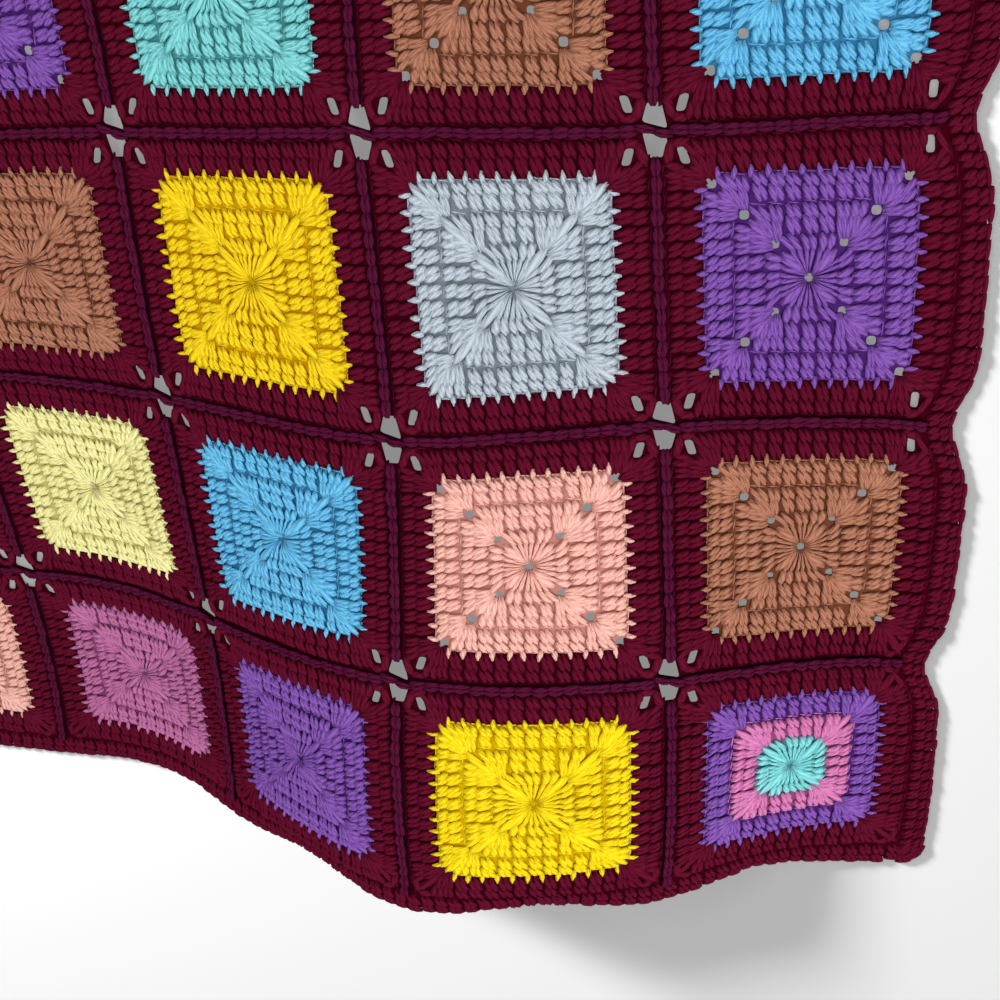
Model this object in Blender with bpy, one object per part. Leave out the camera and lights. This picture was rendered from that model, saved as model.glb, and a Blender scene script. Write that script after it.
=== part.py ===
"""A crocheted blanket of 25 solid granny squares, lying on a surface with one broad fold in it.

Every piece is first laid out flat. Its place across and along the blanket is counted in squares from
the lower left corner, and its height in metres above the underside of the cloth. cloth_point() then
carries each flat point onto the folded cloth, so neighbouring pieces keep their gap wherever it bends.
The frame is metres, +Z up, with the origin on the floor under the middle of the blanket.
"""

import math

import bmesh
import bpy
import numpy as np

# --- driving dimensions, in metres ---------------------------------------------------------------
SQUARES = 5  # along each side
PITCH = 0.130  # from one joining seam to the next
CLOTH = 0.004  # thickness of treble-height worsted crochet
GAP = 0.0003  # between neighbouring pieces
SEAM_WIDTH = 0.005
SEAM_FOOT = 0.0006  # the seams stand this far clear of the underside
SEAM_TOP = 0.0052  # and rise this far above it
CORD_WIDTH = 0.0036  # a row seam where it crosses an open junction bare
COLUMN_SEAM_END = 0.0115  # a column seam stops this far before the crossing
EDGING_WIDTH = 0.012
EDGING_CORNER = 0.009  # an outer corner's reach past the squares, where the edging turns
EDGING_BEND = 0.002  # from a mitre back to where the edging runs straight

SQUARE_HALF = PITCH / 2 - SEAM_WIDTH / 2 - GAP
COLOUR_HALF = 0.0445  # the coloured rounds end here and the border round begins
CORNER_SPACE = {"inner": (0.0500, 0.0500), "outer": (0.0560, 0.0580)}  # of the border round
COLOUR_SPACE_INNER = 0.0390  # an open square's last coloured round has spaces from here
TURN_LINES = (0.015, 0.030)  # added grid lines of the hem row, where its rim bends
CENTRE_RING_HALF = 0.0027  # an open square's centre hole
CUT_SHOULDER = 0.0595  # where a square's corner is drawn in beside an open junction
CUT_TIP = (0.0575, 0.0612)

# --- the fold: a wave that is highest at the hem and dies out towards the top ----------------------
FOLD_HEIGHT = 0.087
FOLD_LEFT_FOOT = 1.16  # in squares from the left edge
FOLD_CROWN = 3.22
FOLD_RIGHT_FOOT = 5.04
FOLD_END_ROW = 3.93  # in squares from the hem
FOLD_FULLNESS = 0.98  # under 1, the wave has a fuller crown than a cosine

# --- how the cloth has pulled out of square, in squares for each square from its line -------------
LEAN_COLUMN = 3.5
LEAN_ROW = 2.5
LEAN = {"left_out": 0.0197, "hem_left": 0.0234, "left_up": 0.0078, "left_hem_up": 0.0082,
        "right_hem_down": 0.0133, "right_up": 0.0090}
RIGHT_EDGE = (  # (row line, how far the right edge moves out, and up), each over about a square
    (0, 0.062, 0.045),
    (1, 0.005, -0.065),
    (2, 0.002, -0.070),
)
HEM = (  # (column, how far the hem hangs out past a straight line)
    (1.50, -0.047),
    (2.10, -0.005),
    (3.00, 0.044),
    (4.00, 0.041),
    (4.95, 0.044),
)
RIGHT_EDGE_SPAN = 0.6
HEM_SPAN = 0.45
HEM_DEPTH = 0.7
PULLS = (  # where the cloth is stretched a little: column, row, out and up, in squares
    (2.0, 3.3, 0.029, 0.034),
    (3.0, 3.1, -0.016, 0.027),
    (3.0, 2.0, 0.012, -0.073),
    (3.0, 0.5, -0.043, -0.009),
    (4.0, 0.0, 0.020, 0.037),
    (4.5, 0.6, 0.016, -0.010),
)
PULL_SPAN = 0.6
SCALLOP = {"right": 0.0095, "left": 0.0060, "top": 0.0055}  # drawn in at each seam
HEM_TURN = 0.65  # radians that the rim of the raised hem turns down, halfway between two seams
HEM_TURN_REACH = 0.22  # of a square, from the rim to where the turn starts
TURN_FULLNESS = 3.0  # how soon a rising hem turns down fully
SCALLOP_REACH = 0.14  # of a square, along the edge
SCALLOP_DEPTH = 0.6  # of a square, into the cloth
SOFT = 0.3  # of a square, over which a pull sets in

# --- yarns and how the squares are laid out, top row first ----------------------------------------
YARNS = {  # linear base colour
    "maroon": (0.085, 0.006, 0.018),
    "plum": (0.060, 0.010, 0.030),
    "gold": (0.89, 0.56, 0.010),
    "yellow": (0.93, 0.62, 0.008),
    "grey": (0.36, 0.43, 0.50),
    "violet": (0.20, 0.07, 0.38),
    "brown": (0.38, 0.17, 0.09),
    "cream": (0.85, 0.79, 0.36),
    "sky": (0.13, 0.45, 0.70),
    "salmon": (0.80, 0.38, 0.31),
    "mint": (0.18, 0.58, 0.52),
    "mauve": (0.50, 0.15, 0.32),
}
LAYOUT = (
    ("gold", "sky", "salmon", "cream", "mauve"),
    ("grey", "violet", "mint", "brown", "sky"),
    ("mint", "brown", "gold", "grey", "violet"),
    ("yellow", "cream", "sky", "salmon", "brown"),
    ("salmon", "mauve", "violet", "yellow", "violet"),
)
OPEN_SQUARES = ((3, 1), (3, 3), (3, 4), (2, 4), (1, 3), (1, 4))  # (row, column), worked more loosely
ROUGHNESS = 0.85


# --- the folded cloth -----------------------------------------------------------------------------
def wave_across(column):
    """1 on the crown of the fold and 0 at its two feet."""
    width = np.where(column < FOLD_CROWN, FOLD_CROWN - FOLD_LEFT_FOOT, FOLD_RIGHT_FOOT - FOLD_CROWN)
    turn = np.clip(np.abs(column - FOLD_CROWN) / width, 0, 1)
    return (0.5 + 0.5 * np.cos(math.pi * turn)) ** FOLD_FULLNESS


def wave_along(row):
    """1 at the hem and 0 where the fold dies out."""
    return 0.5 + 0.5 * np.cos(math.pi * np.clip(row / FOLD_END_ROW, 0, 1))


LINE = np.linspace(-0.5, SQUARES + 0.5, 601)  # places along either side, for the length that rises use up


def taken_up(wave):
    """How much ground length the rise of one wave takes, from each place on LINE to its far end."""
    slope = np.gradient(FOLD_HEIGHT * wave(LINE), LINE * PITCH)
    used = np.cumsum(slope**2 / 2) * (LINE[1] - LINE[0]) * PITCH
    return used[-1] - used


TAKEN_ACROSS = taken_up(wave_across)
TAKEN_ALONG = taken_up(wave_along)
NORMAL_STEP = 0.02  # of a square


def past(amount):
    """The amount where it is over 0, and 0 elsewhere, with a soft change between."""
    return (amount + np.sqrt(amount**2 + SOFT**2)) / 2


def hill(distance, width):
    return np.exp(-((distance / width) ** 2))


def draw_in(place, from_edge):
    """How strongly the seams that run into an edge draw the cloth in there."""
    seam = np.clip(np.round(place), 1, SQUARES - 1)
    return hill(place - seam, SCALLOP_REACH) * np.clip(1 - from_edge / SCALLOP_DEPTH, 0, 1) ** 2


def turned_down(column, row):
    """How far the hem draws in and drops, in metres, as it turns down between the seams."""
    rim = (EDGING_WIDTH - SEAM_WIDTH / 2) / PITCH
    band = PITCH * np.clip(HEM_TURN_REACH - rim - row, 0, None)
    raised = np.tanh(TURN_FULLNESS * wave_across(column)) * (0.5 - 0.5 * np.cos(2 * math.pi * column))
    angle = HEM_TURN * raised * band / (PITCH * HEM_TURN_REACH)
    return band * angle**2 / 6, band * angle / 2


def surface(column, row):
    """Points of the cloth's underside, before it is centred."""
    left = past(LEAN_COLUMN - column)
    right = past(column - LEAN_COLUMN)
    low = past(LEAN_ROW - row)
    across = column - SQUARES / 2 - LEAN["left_out"] * left * low - LEAN["hem_left"] * low**2
    along = (
        row - SQUARES / 2 + LEAN["left_up"] * left**2 + LEAN["left_hem_up"] * left * low
        - LEAN["right_hem_down"] * right * low + LEAN["right_up"] * right**2
    )
    edge = (right / (SQUARES - LEAN_COLUMN)) ** 2
    for line, out, up in RIGHT_EDGE:
        nearness = edge * hill(row - line, RIGHT_EDGE_SPAN)
        across = across + out * nearness
        along = along + up * nearness
    for place, out in HEM:
        along = along - out * hill(column - place, HEM_SPAN) * hill(row, HEM_DEPTH)
    for place, line, out, up in PULLS:
        nearness = hill(column - place, PULL_SPAN) * hill(row - line, PULL_SPAN)
        across = across + out * nearness
        along = along + up * nearness
    x = PITCH * across + np.interp(column, LINE, TAKEN_ACROSS) * wave_along(row) ** 2
    y = PITCH * along + np.interp(row, LINE, TAKEN_ALONG) * wave_across(column) ** 2
    x = x - SCALLOP["right"] * draw_in(row, SQUARES - column)
    x = x + SCALLOP["left"] * draw_in(row, column)
    y = y - SCALLOP["top"] * draw_in(column, SQUARES - row)
    drawn_in, dropped = turned_down(column, row)
    z = FOLD_HEIGHT * wave_across(column) * wave_along(row) - dropped
    return np.stack([x, y + drawn_in, z], axis=-1)


def centre_of_cloth():
    """The middle of the ground that the blanket covers."""
    reach = (EDGING_WIDTH - SEAM_WIDTH / 2) / PITCH
    ends = np.linspace(-reach, SQUARES + reach, len(LINE))
    low, high = np.full_like(ends, -reach), np.full_like(ends, SQUARES + reach)
    rim = np.concatenate([surface(a, b) for a, b in ((ends, low), (ends, high), (low, ends), (high, ends))])
    return (rim.min(axis=0) + rim.max(axis=0)) / 2 * (1, 1, 0)


CENTRE = centre_of_cloth()


def cloth_point(flat):
    """Flat points (column, row, height above the underside) as points of the folded cloth."""
    column, row, height = flat[:, 0], flat[:, 1], flat[:, 2]
    across = surface(column + NORMAL_STEP, row) - surface(column - NORMAL_STEP, row)
    along = surface(column, row + NORMAL_STEP) - surface(column, row - NORMAL_STEP)
    normal = np.cross(across, along)
    normal /= np.linalg.norm(normal, axis=1, keepdims=True)
    return surface(column, row) - CENTRE + normal * height[:, None]


# --- flat slabs -----------------------------------------------------------------------------------
def same(place, line):
    """Whether a 32-bit coordinate is on a line."""
    return math.isclose(place, line, abs_tol=1e-6)


def both_ways(*distances):
    """Grid lines at these distances to either side of 0, in order."""
    return sorted({sign * d for d in distances for sign in (-1, 1)})


def flat_grid(lines_x, lines_y):
    """A grid with its lines at these places, in metres."""
    grid = bmesh.new()
    count_x, count_y = len(lines_x) - 1, len(lines_y) - 1
    bmesh.ops.create_grid(grid, x_segments=count_x, y_segments=count_y, size=1)
    for vertex in grid.verts:
        vertex.co.x = lines_x[round((vertex.co.x + 1) / 2 * count_x)]
        vertex.co.y = lines_y[round((vertex.co.y + 1) / 2 * count_y)]
    return grid


def cut_cells(grid, is_gap):
    """Removes the cells whose middle is in a gap."""
    gaps = [f for f in grid.faces if is_gap(*f.calc_center_median()[:2])]
    bmesh.ops.delete(grid, geom=gaps, context="FACES")


def thicken(grid, foot, top):
    """Makes the flat grid a closed slab between two heights."""
    bmesh.ops.translate(grid, verts=grid.verts, vec=(0, 0, foot))
    raised = bmesh.ops.extrude_face_region(grid, geom=grid.faces[:])["geom"]
    lifted = [g for g in raised if isinstance(g, bmesh.types.BMVert)]
    bmesh.ops.translate(grid, verts=lifted, vec=(0, 0, top - foot))


def drape(grid, column, row, name, yarns):
    """Carries a flat slab, centred on this place in squares, onto the cloth and makes it an object."""
    flat = np.array([v.co[:] for v in grid.verts])
    flat[:, :2] = flat[:, :2] / PITCH + (column, row)
    for vertex, point in zip(grid.verts, cloth_point(flat)):
        vertex.co = point
    bmesh.ops.recalc_face_normals(grid, faces=grid.faces)
    if grid.calc_volume(signed=True) < 0:
        bmesh.ops.reverse_faces(grid, faces=grid.faces)
    mesh = bpy.data.meshes.new(name)
    grid.to_mesh(mesh)
    grid.free()
    for yarn in yarns:
        mesh.materials.append(yarn_material(yarn))
    piece = bpy.data.objects.new(name, mesh)
    bpy.context.scene.collection.objects.link(piece)
    return piece


def yarn_material(yarn):
    material = bpy.data.materials.get(yarn)
    if material is None:
        material = bpy.data.materials.new(yarn)
        material.use_nodes = True
        shader = material.node_tree.nodes["Principled BSDF"]
        shader.inputs["Base Color"].default_value = (*YARNS[yarn], 1)
        shader.inputs["Roughness"].default_value = ROUGHNESS
        shader.inputs["Metallic"].default_value = 0
        material.diffuse_color = (*YARNS[yarn], 1)
    return material


# --- the pieces -----------------------------------------------------------------------------------
def square_lines(row, column):
    """Where a square's grid lines run across and along it."""
    inside = (CENTRE_RING_HALF, COLOUR_SPACE_INNER) if (row, column) in OPEN_SQUARES else (0,)
    added = (TURN_LINES if row == 0 else (), ())
    inner, outer = CORNER_SPACE["inner"], CORNER_SPACE["outer"]
    return tuple(
        both_ways(*inside, *added[i], COLOUR_HALF, inner[i], outer[i], SQUARE_HALF) for i in (0, 1)
    )


def make_square(row, column, yarn):
    """One granny square: its coloured rounds and its border round, with the gaps at their corners."""
    (in_x, in_y), (out_x, out_y) = CORNER_SPACE["inner"], CORNER_SPACE["outer"]
    grid = flat_grid(*square_lines(row, column))

    def is_gap(x, y):
        x, y = abs(x), abs(y)
        if in_x < x < out_x and in_y < y < out_y:
            return True
        colour_space = COLOUR_SPACE_INNER < min(x, y) and max(x, y) < COLOUR_HALF
        centre_ring = max(x, y) < CENTRE_RING_HALF
        return (row, column) in OPEN_SQUARES and (colour_space or centre_ring)

    cut_cells(grid, is_gap)
    for vertex in grid.verts:
        draw_in_corner(vertex, row, column, out_y)
    for face in grid.faces:
        x, y, _ = face.calc_center_median()
        face.material_index = int(max(abs(x), abs(y)) > COLOUR_HALF)
    thicken(grid, 0, CLOTH)
    drape(grid, column + 0.5, row + 0.5, f"square_row{row + 1}_col{column + 1}", (yarn, "maroon"))


def draw_in_corner(vertex, row, column, shoulder_y):
    """Rounds a square's corner off where four squares meet round an open junction."""
    side_x, side_y = math.copysign(1, vertex.co.x), math.copysign(1, vertex.co.y)
    inner_column = 0 < column + (side_x > 0) < SQUARES
    inner_row = 0 < row + (side_y > 0) < SQUARES
    if not (inner_column and inner_row and same(abs(vertex.co.x), SQUARE_HALF)):
        return
    if same(abs(vertex.co.y), SQUARE_HALF):
        vertex.co.x, vertex.co.y = side_x * CUT_TIP[0], side_y * CUT_TIP[1]
    elif same(abs(vertex.co.y), shoulder_y):
        vertex.co.x = side_x * CUT_SHOULDER


def make_column_seam(row, seam):
    """The short seam that joins two squares of one row."""
    low = SQUARE_HALF if row == 0 else PITCH / 2 - COLUMN_SEAM_END
    high = SQUARE_HALF if row == SQUARES - 1 else PITCH / 2 - COLUMN_SEAM_END
    half = SEAM_WIDTH / 2
    grid = flat_grid((-half, half), (-low, -COLOUR_HALF, 0, COLOUR_HALF, high))
    thicken(grid, SEAM_FOOT, SEAM_TOP)
    drape(grid, seam, row + 0.5, f"column_seam_row{row + 1}_{seam}", ("plum",))


def make_row_seam(seam):
    """The long seam between two rows of squares, a bare cord where it crosses the open junctions."""
    middle = SQUARES / 2
    lines = [-middle * PITCH + SEAM_WIDTH / 2 + GAP]
    for column in range(SQUARES):
        at = (column + 0.5 - middle) * PITCH
        lines += [at + d for d in both_ways(0, COLOUR_HALF, CUT_TIP[0])]
        lines.append(at + PITCH / 2)
    lines[-1] -= SEAM_WIDTH / 2 + GAP
    grid = flat_grid(lines, (-SEAM_WIDTH / 2, SEAM_WIDTH / 2))
    crossings = [(k - middle) * PITCH for k in range(1, SQUARES)]
    for vertex in grid.verts:
        if any(same(vertex.co.x, at) for at in crossings):
            vertex.co.y *= CORD_WIDTH / SEAM_WIDTH
    thicken(grid, SEAM_FOOT, SEAM_TOP)
    drape(grid, middle, seam, f"row_seam_{seam}", ("plum",))


def make_edging(side):
    """One side of the border worked round the joined squares, mitred at its two ends."""
    middle = SQUARES / 2
    inner = middle * PITCH - SEAM_WIDTH / 2
    outer = inner + EDGING_WIDTH
    quarter_turns, beside, direction = {
        "top": (0, lambda k: (SQUARES - 1, k), 0),
        "left": (1, lambda k: (k, 0), 1),
        "hem": (2, lambda k: (0, SQUARES - 1 - k), 0),
        "right": (3, lambda k: (SQUARES - 1 - k, SQUARES - 1), 1),
    }[side]
    lines = [-inner]
    for k in range(SQUARES):
        at = (k + 0.5 - middle) * PITCH
        lines += [at + d for d in square_lines(*beside(k))[direction]]
    lines[1] = -inner + EDGING_BEND
    lines[-1] = inner - EDGING_BEND
    lines.append(inner)
    grid = flat_grid(lines, (inner, outer))
    for vertex in grid.verts:
        along, end = abs(vertex.co.x), math.copysign(1, vertex.co.x)
        on_outside = vertex.co.y > inner + GAP
        if same(along, inner):
            reach = inner + EDGING_CORNER if on_outside else inner
            vertex.co.x = end * (reach - GAP / math.sqrt(2))
            vertex.co.y = reach
        elif on_outside and same(along, inner - EDGING_BEND):
            vertex.co.x = end * inner
    thicken(grid, 0, CLOTH)
    for vertex in grid.verts:
        for _ in range(quarter_turns):
            vertex.co.x, vertex.co.y = -vertex.co.y, vertex.co.x
    drape(grid, middle, middle, f"edging_{side}", ("maroon",))


def clear_scene():
    for thing in list(bpy.data.objects):
        bpy.data.objects.remove(thing, do_unlink=True)


def main():
    clear_scene()
    for row in range(SQUARES):
        for column in range(SQUARES):
            make_square(row, column, LAYOUT[SQUARES - 1 - row][column])
        for seam in range(1, SQUARES):
            make_column_seam(row, seam)
    for seam in range(1, SQUARES):
        make_row_seam(seam)
    for side in ("hem", "right", "top", "left"):
        make_edging(side)


main()
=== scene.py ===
# %% [markdown]
# # A granny square blanket, stitch by stitch
# The real thing is 25 crocheted squares, joined with raised seams and edged all round. It could be one
# bumpy sheet, but yarn throws its own small shadows, so here every stitch is a few short lengths of yarn.
# All of them are laid out flat first, in metres across and along the blanket, and one function then
# carries every point onto the folded cloth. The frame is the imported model: this script only dresses it.

# %% Load the frame
import math

import bmesh
import bpy
import numpy as np
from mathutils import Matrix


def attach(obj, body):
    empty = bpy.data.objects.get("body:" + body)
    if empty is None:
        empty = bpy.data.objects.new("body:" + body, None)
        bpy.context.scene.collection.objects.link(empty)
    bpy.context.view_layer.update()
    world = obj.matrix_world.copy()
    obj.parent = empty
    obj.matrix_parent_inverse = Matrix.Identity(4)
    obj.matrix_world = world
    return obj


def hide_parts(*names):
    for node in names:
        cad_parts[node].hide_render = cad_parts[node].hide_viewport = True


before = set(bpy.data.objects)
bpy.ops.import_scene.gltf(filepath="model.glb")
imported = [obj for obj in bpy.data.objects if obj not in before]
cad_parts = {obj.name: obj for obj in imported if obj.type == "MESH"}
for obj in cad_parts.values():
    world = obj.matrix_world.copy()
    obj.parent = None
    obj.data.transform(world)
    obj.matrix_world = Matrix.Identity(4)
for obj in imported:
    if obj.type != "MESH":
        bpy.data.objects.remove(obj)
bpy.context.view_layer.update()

# %% [markdown]
# ## The folded cloth
# A blanket that lies on the floor is flat where it touches, and here one wave crosses it, highest at
# the hem. A cosine to a power makes such a wave from a few sizes. The ground that the rise uses up is
# taken from the length of the cloth, and a few gentle pulls carry it out of square, as handling does.
# Between the seams the raised hem turns down a little at its rim. Places on the cloth are counted in
# squares, as columns from the left and rows from the hem, and sizes are in metres.

# %% Sizes of the cloth and its fold
SQUARES = 5
PITCH = 0.130
SIDE = SQUARES * PITCH
SEAM_WIDTH = 0.005
EDGING_WIDTH = 0.012
EDGING_OUT = EDGING_WIDTH - SEAM_WIDTH / 2  # past the squares' outline
FOLD_HEIGHT = 0.087
FOLD_LEFT_FOOT = 1.16
FOLD_CROWN = 3.22
FOLD_RIGHT_FOOT = 5.04
FOLD_END_ROW = 3.93
FOLD_FULLNESS = 0.98
HEM_TURN = 0.65  # radians
HEM_TURN_REACH = 0.22
TURN_FULLNESS = 3.0
print("blanket of", SQUARES**2, "squares,", SIDE, "m a side before its edging")

# %% How the cloth lies out of square
LEAN_COLUMN = 3.5
LEAN_ROW = 2.5
LEAN = {"left_out": 0.0197, "hem_left": 0.0234, "left_up": 0.0078, "left_hem_up": 0.0082,
        "right_hem_down": 0.0133, "right_up": 0.0090}
RIGHT_EDGE = ((0, 0.062, 0.045), (1, 0.005, -0.065), (2, 0.002, -0.070))  # row, out, up
RIGHT_EDGE_SPAN = 0.6
HEM = ((1.50, -0.047), (2.10, -0.005), (3.00, 0.044), (4.00, 0.041), (4.95, 0.044))  # column, out
HEM_SPAN = 0.45
HEM_DEPTH = 0.7
PULLS = (  # column, row, out, up
    (2.0, 3.3, 0.029, 0.034), (3.0, 3.1, -0.016, 0.027), (3.0, 2.0, 0.012, -0.073),
    (3.0, 0.5, -0.043, -0.009), (4.0, 0.0, 0.020, 0.037), (4.5, 0.6, 0.016, -0.010),
)
PULL_SPAN = 0.6
SCALLOP = {"right": 0.0095, "left": 0.0060, "top": 0.0055}
SCALLOP_REACH = 0.14
SCALLOP_DEPTH = 0.6
SOFT = 0.3
NORMAL_STEP = 0.02
LINE = np.linspace(-0.5, SQUARES + 0.5, 601)
print(len(PULLS), "pulls, and scallops of", SCALLOP)


# %% The wave, and the ground it takes up
def wave_across(column):
    width = np.where(column < FOLD_CROWN, FOLD_CROWN - FOLD_LEFT_FOOT, FOLD_RIGHT_FOOT - FOLD_CROWN)
    turn = np.clip(np.abs(column - FOLD_CROWN) / width, 0, 1)
    return (0.5 + 0.5 * np.cos(math.pi * turn)) ** FOLD_FULLNESS


def wave_along(row):
    return 0.5 + 0.5 * np.cos(math.pi * np.clip(row / FOLD_END_ROW, 0, 1))


def taken_up(wave):
    """How far the cloth is drawn in at each place of LINE, towards its far end, by what rises."""
    slope = np.gradient(FOLD_HEIGHT * wave(LINE), LINE * PITCH)
    used = np.cumsum(slope**2 / 2) * (LINE[1] - LINE[0]) * PITCH
    return used[-1] - used


TAKEN_ACROSS = taken_up(wave_across)
TAKEN_ALONG = taken_up(wave_along)
print("ground taken up across and along, mm:", 1000 * TAKEN_ACROSS[0], 1000 * TAKEN_ALONG[0])


# %% Pulls, scallops and the turned hem
def past(amount):
    """The amount where it is over 0, and 0 elsewhere, with a soft turn between them."""
    return (amount + np.sqrt(amount**2 + SOFT**2)) / 2


def hill(distance, width):
    return np.exp(-((distance / width) ** 2))


def draw_in(place, from_edge):
    """The share of a scallop's depth at a place along an edge: all of it at the end of a seam."""
    seam = np.clip(np.round(place), 1, SQUARES - 1)
    return hill(place - seam, SCALLOP_REACH) * np.clip(1 - from_edge / SCALLOP_DEPTH, 0, 1) ** 2


def turned_down(column, row):
    """How far the hem draws in and drops, in metres, as it bends down evenly between the seams."""
    band = PITCH * np.clip(HEM_TURN_REACH - EDGING_OUT / PITCH - row, 0, None)
    raised = np.tanh(TURN_FULLNESS * wave_across(column)) * (0.5 - 0.5 * np.cos(2 * math.pi * column))
    angle = HEM_TURN * raised * band / (PITCH * HEM_TURN_REACH)
    return band * angle**2 / 6, band * angle / 2


rim_drop = float(turned_down(2.5, -EDGING_OUT / PITCH)[1])
print("between two seams the hem's rim drops by", round(1000 * rim_drop, 1), "mm")


# %% Where a flat point lands
def surface(column, row):
    left = past(LEAN_COLUMN - column)
    right = past(column - LEAN_COLUMN)
    low = past(LEAN_ROW - row)
    across = column - SQUARES / 2 - LEAN["left_out"] * left * low - LEAN["hem_left"] * low**2
    along = (
        row - SQUARES / 2 + LEAN["left_up"] * left**2 + LEAN["left_hem_up"] * left * low
        - LEAN["right_hem_down"] * right * low + LEAN["right_up"] * right**2
    )
    edge = (right / (SQUARES - LEAN_COLUMN)) ** 2
    for line, out, up in RIGHT_EDGE:
        nearness = edge * hill(row - line, RIGHT_EDGE_SPAN)
        across = across + out * nearness
        along = along + up * nearness
    for place, out in HEM:
        along = along - out * hill(column - place, HEM_SPAN) * hill(row, HEM_DEPTH)
    for place, line, out, up in PULLS:
        nearness = hill(column - place, PULL_SPAN) * hill(row - line, PULL_SPAN)
        across = across + out * nearness
        along = along + up * nearness
    x = PITCH * across + np.interp(column, LINE, TAKEN_ACROSS) * wave_along(row) ** 2
    y = PITCH * along + np.interp(row, LINE, TAKEN_ALONG) * wave_across(column) ** 2
    x = x - SCALLOP["right"] * draw_in(row, SQUARES - column)
    x = x + SCALLOP["left"] * draw_in(row, column)
    y = y - SCALLOP["top"] * draw_in(column, SQUARES - row)
    drawn_in, dropped = turned_down(column, row)
    z = FOLD_HEIGHT * wave_across(column) * wave_along(row) - dropped
    return np.stack([x, y + drawn_in, z], axis=-1)


crown_height = float(surface(FOLD_CROWN, 0.0)[2])
print("the fold is", round(1000 * crown_height, 1), "mm high at the hem")


# %% Points on the whole cloth
def centre_of_cloth():
    reach = EDGING_OUT / PITCH
    ends = np.linspace(-reach, SQUARES + reach, len(LINE))
    low, high = np.full_like(ends, -reach), np.full_like(ends, SQUARES + reach)
    rim = np.concatenate([surface(a, b) for a, b in ((ends, low), (ends, high), (low, ends), (high, ends))])
    return (rim.min(axis=0) + rim.max(axis=0)) / 2 * (1, 1, 0)


CENTRE = centre_of_cloth()


def on_cloth(flat):
    """Flat points, in metres from the lower left corner and metres above the underside, on the cloth."""
    column, row, height = flat[:, 0] / PITCH, flat[:, 1] / PITCH, flat[:, 2]
    across = surface(column + NORMAL_STEP, row) - surface(column - NORMAL_STEP, row)
    along = surface(column, row + NORMAL_STEP) - surface(column, row - NORMAL_STEP)
    normal = np.cross(across, along)
    normal /= np.linalg.norm(normal, axis=1, keepdims=True)
    return surface(column, row) - CENTRE + normal * height[:, None]


corner = on_cloth(np.array([[0.0, 0.0, 0.0]]))[0]
print("lower left corner of the squares lands at", corner.round(4))

# %% [markdown]
# ## Camera, floor and light
# The blanket is seen from above its far right side, leaning over it, so that the near corner of the
# folded hem fills the picture. Two large soft lamps and a pale world light the yarn from all round, as
# softboxes and white walls would. A third lamp lights the floor alone, from the upper left, so that the
# blanket's shadow is clear on it. The floor under the blanket is a piece of its own that this lamp
# leaves out, so the open junctions show it evenly dim. Standard colour keeps the dyes as bright as
# they are.

# %% Camera
CAMERA_PLACE = (0.2934, 0.2168, 0.6022)
CAMERA_TURN = (-30.14, 14.01, -5.27)  # degrees
LENS_MM = 50.41
camera = bpy.data.objects.new("camera", bpy.data.cameras.new("camera"))
camera.data.lens = LENS_MM
camera.location = CAMERA_PLACE
camera.rotation_euler = [math.radians(a) for a in CAMERA_TURN]
bpy.context.scene.collection.objects.link(camera)
bpy.context.scene.camera = camera
print("camera at", CAMERA_PLACE, "lens", LENS_MM)

# %% Floor
FLOOR_SIDE = 6.0
FLOOR_DROP = 0.0003
FLOOR_GREY = 0.14
FLOOR_GLOW = 0.26
FLOOR_ROUGHNESS = 0.9
floor_bm = bmesh.new()
bmesh.ops.create_grid(floor_bm, x_segments=1, y_segments=1, size=FLOOR_SIDE / 2)
bmesh.ops.translate(floor_bm, verts=floor_bm.verts, vec=(0, 0, -FLOOR_DROP))
floor_mesh = bpy.data.meshes.new("floor")
floor_bm.to_mesh(floor_mesh)
floor_bm.free()
floor = bpy.data.objects.new("floor", floor_mesh)
bpy.context.scene.collection.objects.link(floor)
floor_paint = bpy.data.materials.new("floor_paint")
floor_paint.use_nodes = True
floor_shader = floor_paint.node_tree.nodes["Principled BSDF"]
floor_shader.inputs["Base Color"].default_value = (FLOOR_GREY, FLOOR_GREY, FLOOR_GREY, 1)
floor_shader.inputs["Roughness"].default_value = FLOOR_ROUGHNESS
floor_shader.inputs["Emission Color"].default_value = (1, 1, 1, 1)
floor_shader.inputs["Emission Strength"].default_value = FLOOR_GLOW
floor_mesh.materials.append(floor_paint)
print("floor", FLOOR_SIDE, "m a side")

# %% The floor under the blanket
UNDER_INSET = 0.004  # from the squares' outline
UNDER_LIFT = 0.0001  # over the floor
UNDER_CELLS = 30
under_bm = bmesh.new()
bmesh.ops.create_grid(under_bm, x_segments=UNDER_CELLS, y_segments=UNDER_CELLS, size=SIDE / 2 - UNDER_INSET)
bmesh.ops.translate(under_bm, verts=under_bm.verts, vec=(SIDE / 2, SIDE / 2, 0))
for vertex, place in zip(under_bm.verts, on_cloth(np.array([v.co[:] for v in under_bm.verts]))):
    vertex.co = (place[0], place[1], UNDER_LIFT - FLOOR_DROP)
under_mesh = bpy.data.meshes.new("floor_under_blanket")
under_bm.to_mesh(under_mesh)
under_bm.free()
under_mesh.materials.append(floor_paint)
under = bpy.data.objects.new("floor_under_blanket", under_mesh)
bpy.context.scene.collection.objects.link(under)
print("floor under the blanket,", len(under_mesh.polygons), "faces")

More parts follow.
